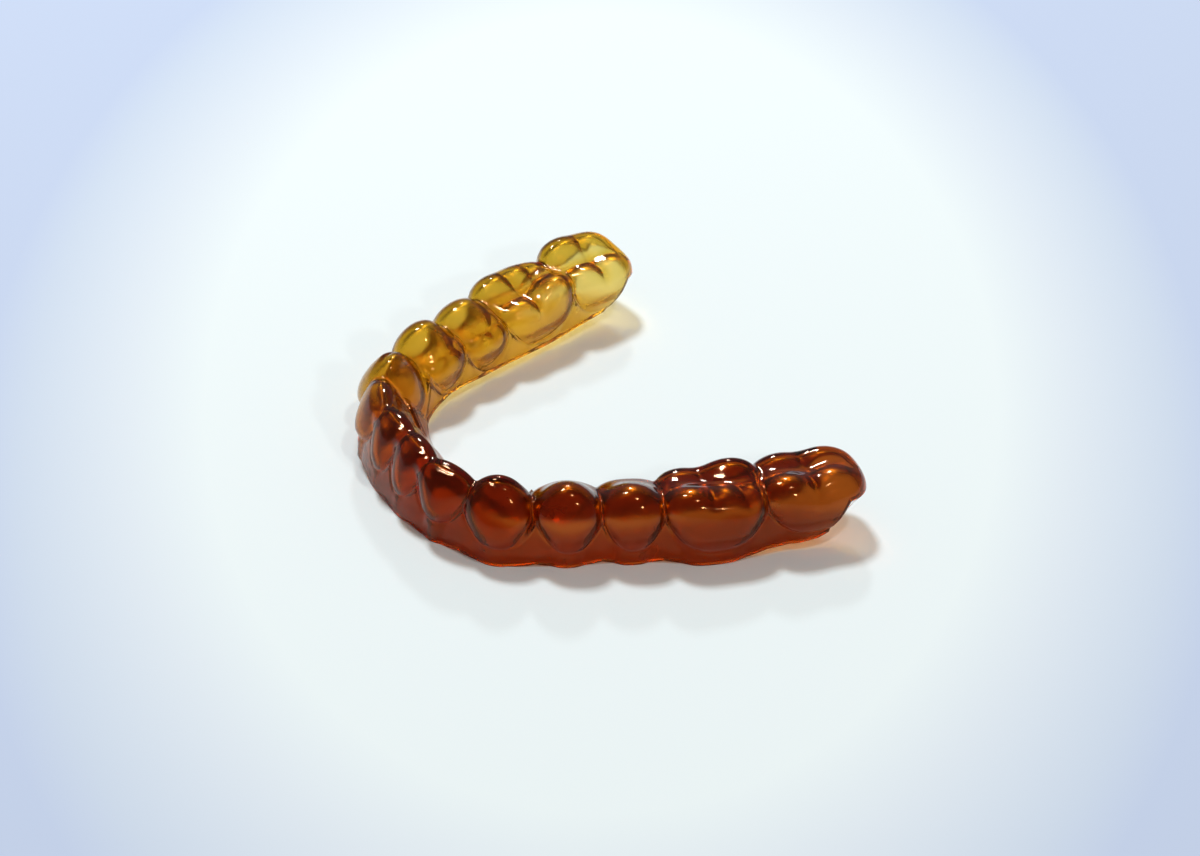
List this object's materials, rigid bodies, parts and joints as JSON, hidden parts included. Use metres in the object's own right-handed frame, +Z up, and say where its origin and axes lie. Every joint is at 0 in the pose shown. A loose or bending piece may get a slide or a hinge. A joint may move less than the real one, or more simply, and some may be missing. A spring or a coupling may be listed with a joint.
{
  "type": "clear aligner",
  "caption": "Thin see-through amber shell moulded over a full lower row of teeth, open along its underside and lying on its rim with the chewing side up.",
  "frame": {"origin": "centre of the bounding box in X and Y, on the surface that the rim rests on", "axes": "+X towards the wearer's left as the shell lies chewing side up with its front teeth facing -Y, +Y from the front teeth towards the open ends of the arms, +Z up through the chewing side"},
  "size_m": [0.0588, 0.0474, 0.0094],
  "materials": {
    "amber_resin": "clear amber, glossy"
  },
  "bodies": {
    "root": {"aligner_shell": "amber_resin"}
  },
  "joints": []
}
